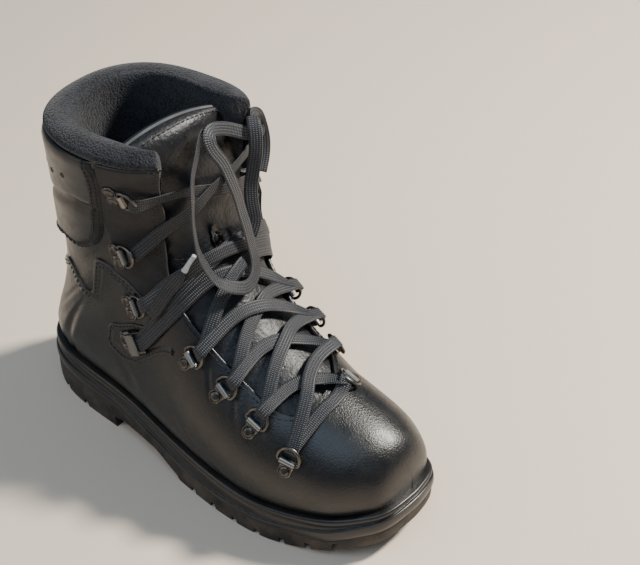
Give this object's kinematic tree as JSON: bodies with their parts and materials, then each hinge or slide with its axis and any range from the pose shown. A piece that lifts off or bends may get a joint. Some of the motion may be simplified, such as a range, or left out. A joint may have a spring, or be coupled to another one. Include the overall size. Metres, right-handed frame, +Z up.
{
  "type": "combat boot",
  "caption": "Tall lace-up leather boot for the right foot: padded collar, open tongue, D-ring lacing and a lugged rubber sole with a heel block.",
  "frame": {"origin": "on the floor under the middle of the boot's box", "axes": "+X from heel to toe, +Y towards the medial (inner) side, +Z up"},
  "size_m": [0.3074, 0.1235, 0.2594],
  "materials": {
    "leather": "smooth black full-grain leather, waxed, with a soft sheen",
    "tongue_leather": "soft grained black leather, glossy where it folds",
    "collar_knit": "thick charcoal knit over foam",
    "insole_cloth": "blue-grey lining cloth",
    "midsole_rubber": "moulded black rubber with a low sheen",
    "tread_rubber": "matt black rubber, dusty at the edges",
    "hardware": "blackened steel, worn bright on its edges",
    "lace": "flat woven lace with lengthwise ribs"
  },
  "bodies": {
    "root": {"upper": "leather", "midsole": "midsole_rubber", "outsole": "tread_rubber", "insole": "insole_cloth", "collar_padding": "collar_knit", "tongue": "tongue_leather", "lace_crossings": "lace", "lace_loop": "lace", "lace_fold": "lace", "lace_end": "lace", "tongue_keeper": "hardware", "ring_clip_lateral_1": "hardware", "ring_clip_lateral_2": "hardware", "ring_clip_lateral_3": "hardware", "ring_clip_lateral_4": "hardware", "ring_clip_lateral_5": "hardware", "ring_clip_lateral_6": "hardware", "ring_clip_lateral_7": "hardware", "ring_clip_medial_1": "hardware", "ring_clip_medial_2": "hardware", "ring_clip_medial_3": "hardware", "ring_clip_medial_4": "hardware", "ring_clip_medial_5": "hardware", "ring_clip_medial_6": "hardware", "ring_clip_medial_7": "hardware", "d_ring_lateral_1": "hardware", "d_ring_lateral_2": "hardware", "d_ring_lateral_3": "hardware", "d_ring_lateral_4": "hardware", "d_ring_lateral_5": "hardware", "d_ring_lateral_6": "hardware", "d_ring_lateral_7": "hardware", "d_ring_medial_1": "hardware", "d_ring_medial_2": "hardware", "d_ring_medial_3": "hardware", "d_ring_medial_4": "hardware", "d_ring_medial_5": "hardware", "d_ring_medial_6": "hardware", "d_ring_medial_7": "hardware", "lace_lock_lateral": "hardware", "lace_lock_medial": "hardware"}
  },
  "joints": []
}
